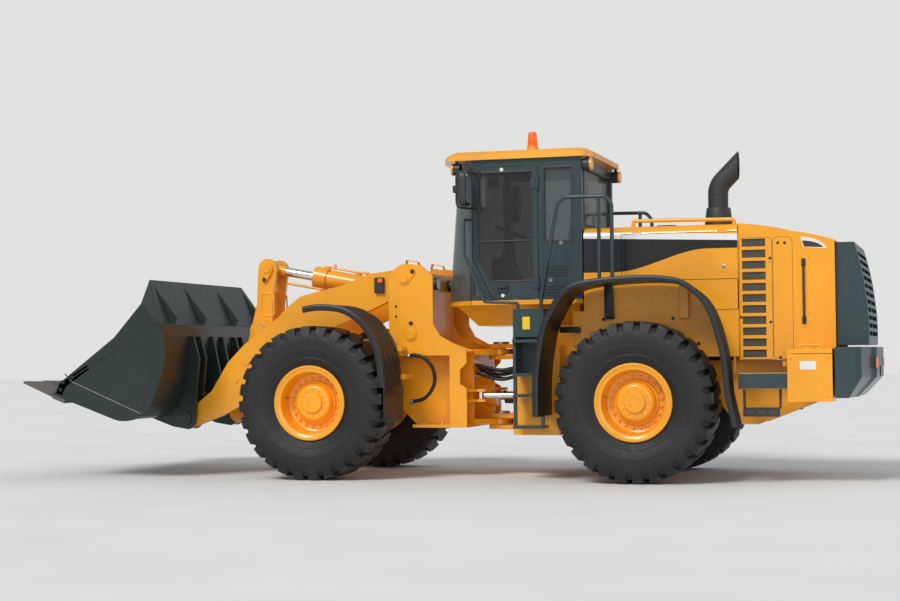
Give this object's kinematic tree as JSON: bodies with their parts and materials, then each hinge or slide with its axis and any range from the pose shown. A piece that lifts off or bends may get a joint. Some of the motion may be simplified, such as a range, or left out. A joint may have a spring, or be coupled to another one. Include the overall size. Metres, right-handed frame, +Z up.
{
  "type": "wheel loader",
  "caption": "Articulated wheel loader with a lift arm and toothed bucket ahead, a glazed cab in the middle and a hood with a rear counterweight.",
  "frame": {"origin": "on the ground under the middle of the machine's length and width", "axes": "+X forward, +Y to the machine's left, +Z up"},
  "size_m": [8.7846, 2.92, 3.612],
  "materials": {
    "yellow_paint": "semi gloss, dusty",
    "slate_paint": "semi gloss, dusty",
    "bucket_paint": "matt, worn",
    "edge_steel": "worn",
    "pin_steel": "dull",
    "rod_chrome": "polished",
    "tyre": "matt, dusty",
    "black_rubber": "satin",
    "black_paint": "matt",
    "grey_iron": "oily",
    "smoked_glass": "clean",
    "lamp_plastic": "satin",
    "beacon_plastic": "translucent look",
    "cab_plastic": "grained",
    "seat_fabric": "woven"
  },
  "bodies": {
    "rear_body": {"rear_chassis": "yellow_paint", "driveline": "grey_iron", "engine": "grey_iron", "side_tanks": "yellow_paint", "side_panels": "black_paint", "cab_base": "yellow_paint", "cab_frame": "slate_paint", "cab_glass": "smoked_glass", "cab_roof": "yellow_paint", "cab_interior": "cab_plastic", "seat": "seat_fabric", "mirrors": "black_paint", "beacon": "beacon_plastic", "lamps": "lamp_plastic", "rear_fenders": "black_rubber", "ladders": "slate_paint", "handrails": "slate_paint", "hood": "yellow_paint", "hood_rear": "yellow_paint", "exhaust": "black_paint", "counterweight": "slate_paint", "battery_boxes": "yellow_paint", "rear_axle": "yellow_paint", "hitch_pins": "pin_steel"},
    "front_body": {"front_frame": "yellow_paint", "front_fenders": "black_rubber", "front_lamps": "lamp_plastic", "front_axle": "yellow_paint"},
    "boom": {"lift_arm": "yellow_paint"},
    "bucket_hinge": {"bucket_pins": "pin_steel"},
    "bucket_body": {"bucket": "bucket_paint", "bucket_edge": "edge_steel"},
    "bell_pivot": {"bell_pin": "pin_steel"},
    "bell": {"bell_crank": "yellow_paint"},
    "link_pivot": {"link_pin": "pin_steel"},
    "link_bar": {"link": "yellow_paint"},
    "tilt_tube": {"tilt_barrel": "yellow_paint"},
    "tilt_piston": {"tilt_rod": "rod_chrome"},
    "lift_tubes": {"lift_barrels": "yellow_paint"},
    "lift_pistons": {"lift_rods": "rod_chrome"},
    "door": {"cab_door": "slate_paint", "door_glass": "smoked_glass"},
    "left_cover": {"hood_cover_left": "yellow_paint"},
    "right_cover": {"hood_cover_right": "yellow_paint"},
    "left_lid": {"battery_lid_left": "yellow_paint"},
    "right_lid": {"battery_lid_right": "yellow_paint"},
    "rear_grille": {"grille_door": "slate_paint"},
    "steer_tube_left": {"steer_barrel_left": "yellow_paint"},
    "steer_piston_left": {"steer_rod_left": "rod_chrome"},
    "front_left_wheel": {"front_left_tyre": "tyre", "front_left_rim": "yellow_paint"},
    "rear_left_wheel": {"rear_left_tyre": "tyre", "rear_left_rim": "yellow_paint"},
    "steer_tube_right": {"steer_barrel_right": "yellow_paint"},
    "steer_piston_right": {"steer_rod_right": "rod_chrome"},
    "front_right_wheel": {"front_right_tyre": "tyre", "front_right_rim": "yellow_paint"},
    "rear_right_wheel": {"rear_right_tyre": "tyre", "rear_right_rim": "yellow_paint"}
  },
  "joints": [
    {"name": "steer", "type": "hinge", "parent": "rear_body", "child": "front_body", "pos_m": [-0.48834, 0, 0.925], "axis": [0, 0, 1], "range_deg": [-40, 40]},
    {"name": "lift", "type": "hinge", "parent": "front_body", "child": "boom", "pos_m": [0.36766, 0, 2.06], "axis": [0, -1, 0], "range_deg": [-11.5, 73]},
    {"name": "bucket_level", "type": "hinge", "parent": "boom", "child": "bucket_hinge", "pos_m": [2.86966, 0, 0.602], "axis": [0, -1, 0], "range_deg": [-74, 12.5]},
    {"name": "tilt", "type": "hinge", "parent": "bucket_hinge", "child": "bucket_body", "pos_m": [2.86966, 0, 0.602], "axis": [0, -1, 0], "range_deg": [-65, 20]},
    {"name": "bell_lift", "type": "hinge", "parent": "boom", "child": "bell_pivot", "pos_m": [2.17666, 0, 1.544], "axis": [0, -1, 0], "range_deg": [-4.41, 22.66]},
    {"name": "bell_tilt", "type": "hinge", "parent": "bell_pivot", "child": "bell", "pos_m": [2.17666, 0, 1.544], "axis": [0, -1, 0], "range_deg": [-6.58, 19.15]},
    {"name": "link_lift", "type": "hinge", "parent": "bucket_body", "child": "link_pivot", "pos_m": [2.68166, 0, 0.943], "axis": [0, -1, 0], "range_deg": [-6.59, 36.49]},
    {"name": "link_tilt", "type": "hinge", "parent": "link_pivot", "child": "link_bar", "pos_m": [2.68166, 0, 0.943], "axis": [0, -1, 0], "range_deg": [-11.89, 36.4]},
    {"name": "tilt_swing", "type": "hinge", "parent": "front_body", "child": "tilt_tube", "pos_m": [0.55666, 0, 1.934], "axis": [0, -1, 0], "range_deg": [-12.72, 75.42]},
    {"name": "tilt_stroke", "type": "slide", "parent": "tilt_tube", "child": "tilt_piston", "axis": [0.9832, 0, 0.1827], "range_m": [-0.222, 0.0752]},
    {"name": "lift_swing", "type": "hinge", "parent": "front_body", "child": "lift_tubes", "pos_m": [0.29966, 0, 1.474], "axis": [0, -1, 0], "range_deg": [-11.14, 65.38]},
    {"name": "lift_stroke", "type": "slide", "parent": "lift_tubes", "child": "lift_pistons", "axis": [0.977, 0, -0.2132], "range_m": [-0.1168, 0.6879]},
    {"name": "steer_swing_left", "type": "hinge", "parent": "rear_body", "child": "steer_tube_left", "pos_m": [-1.46334, 0.4, 0.838], "axis": [0, 0, 1], "range_deg": [-5.9, 5.9]},
    {"name": "steer_stroke_left", "type": "slide", "parent": "steer_tube_left", "child": "steer_piston_left", "axis": [0.9996, 0.0278, 0], "range_m": [-0.2972, 0.2972]},
    {"name": "steer_swing_right", "type": "hinge", "parent": "rear_body", "child": "steer_tube_right", "pos_m": [-1.46334, -0.4, 0.838], "axis": [0, 0, 1], "range_deg": [-5.9, 5.9]},
    {"name": "steer_stroke_right", "type": "slide", "parent": "steer_tube_right", "child": "steer_piston_right", "axis": [0.9996, -0.0278, 0], "range_m": [-0.2972, 0.2972]},
    {"name": "front_left_spin", "type": "hinge", "parent": "front_body", "child": "front_left_wheel", "pos_m": [1.17666, 1.063, 0.785], "axis": [0, 1, 0], "continuous": true},
    {"name": "front_right_spin", "type": "hinge", "parent": "front_body", "child": "front_right_wheel", "pos_m": [1.17666, -1.063, 0.785], "axis": [0, 1, 0], "continuous": true},
    {"name": "rear_left_spin", "type": "hinge", "parent": "rear_body", "child": "rear_left_wheel", "pos_m": [-2.15334, 1.063, 0.785], "axis": [0, 1, 0], "continuous": true},
    {"name": "rear_right_spin", "type": "hinge", "parent": "rear_body", "child": "rear_right_wheel", "pos_m": [-2.15334, -1.063, 0.785], "axis": [0, 1, 0], "continuous": true},
    {"name": "door_hinge", "type": "hinge", "parent": "rear_body", "child": "door", "pos_m": [-1.09434, 0.7743, 2.494], "axis": [0, 0, 1], "range_deg": [0, 90]},
    {"name": "left_cover_hinge", "type": "hinge", "parent": "rear_body", "child": "left_cover", "pos_m": [-2.52134, 0.752, 2.44], "axis": [1, 0, 0], "range_deg": [0, 80]},
    {"name": "right_cover_hinge", "type": "hinge", "parent": "rear_body", "child": "right_cover", "pos_m": [-2.52134, -0.752, 2.44], "axis": [-1, 0, 0], "range_deg": [0, 80]},
    {"name": "left_lid_hinge", "type": "hinge", "parent": "rear_body", "child": "left_lid", "pos_m": [-3.81034, 0.78, 1.286], "axis": [1, 0, 0], "range_deg": [0, 85]},
    {"name": "right_lid_hinge", "type": "hinge", "parent": "rear_body", "child": "right_lid", "pos_m": [-3.81034, -0.78, 1.286], "axis": [-1, 0, 0], "range_deg": [0, 85]},
    {"name": "grille_hinge", "type": "hinge", "parent": "rear_body", "child": "rear_grille", "pos_m": [-4.03134, -0.7, 1.817], "axis": [0, 0, 1], "range_deg": [0, 90]}
  ],
  "couplings": [
    {"joint": "bucket_level", "follows": "lift", "ratio": -1},
    {"joint": "bell_lift", "follows": "lift", "ratio": 0.2967},
    {"joint": "bell_tilt", "follows": "tilt", "ratio": -0.2792},
    {"joint": "link_lift", "follows": "lift", "ratio": 0.4861},
    {"joint": "link_tilt", "follows": "tilt", "ratio": -0.5446},
    {"joint": "tilt_swing", "follows": "lift", "ratio": 1.0194},
    {"joint": "tilt_stroke", "follows": "tilt", "m_per_rad": 0.18687},
    {"joint": "lift_swing", "follows": "lift", "ratio": 0.8819},
    {"joint": "lift_stroke", "follows": "lift", "m_per_rad": 0.53207},
    {"joint": "steer_swing_left", "follows": "steer", "ratio": 0.1225},
    {"joint": "steer_stroke_left", "follows": "steer", "m_per_rad": -0.41137},
    {"joint": "steer_swing_right", "follows": "steer", "ratio": 0.1225},
    {"joint": "steer_stroke_right", "follows": "steer", "m_per_rad": 0.41137}
  ]
}
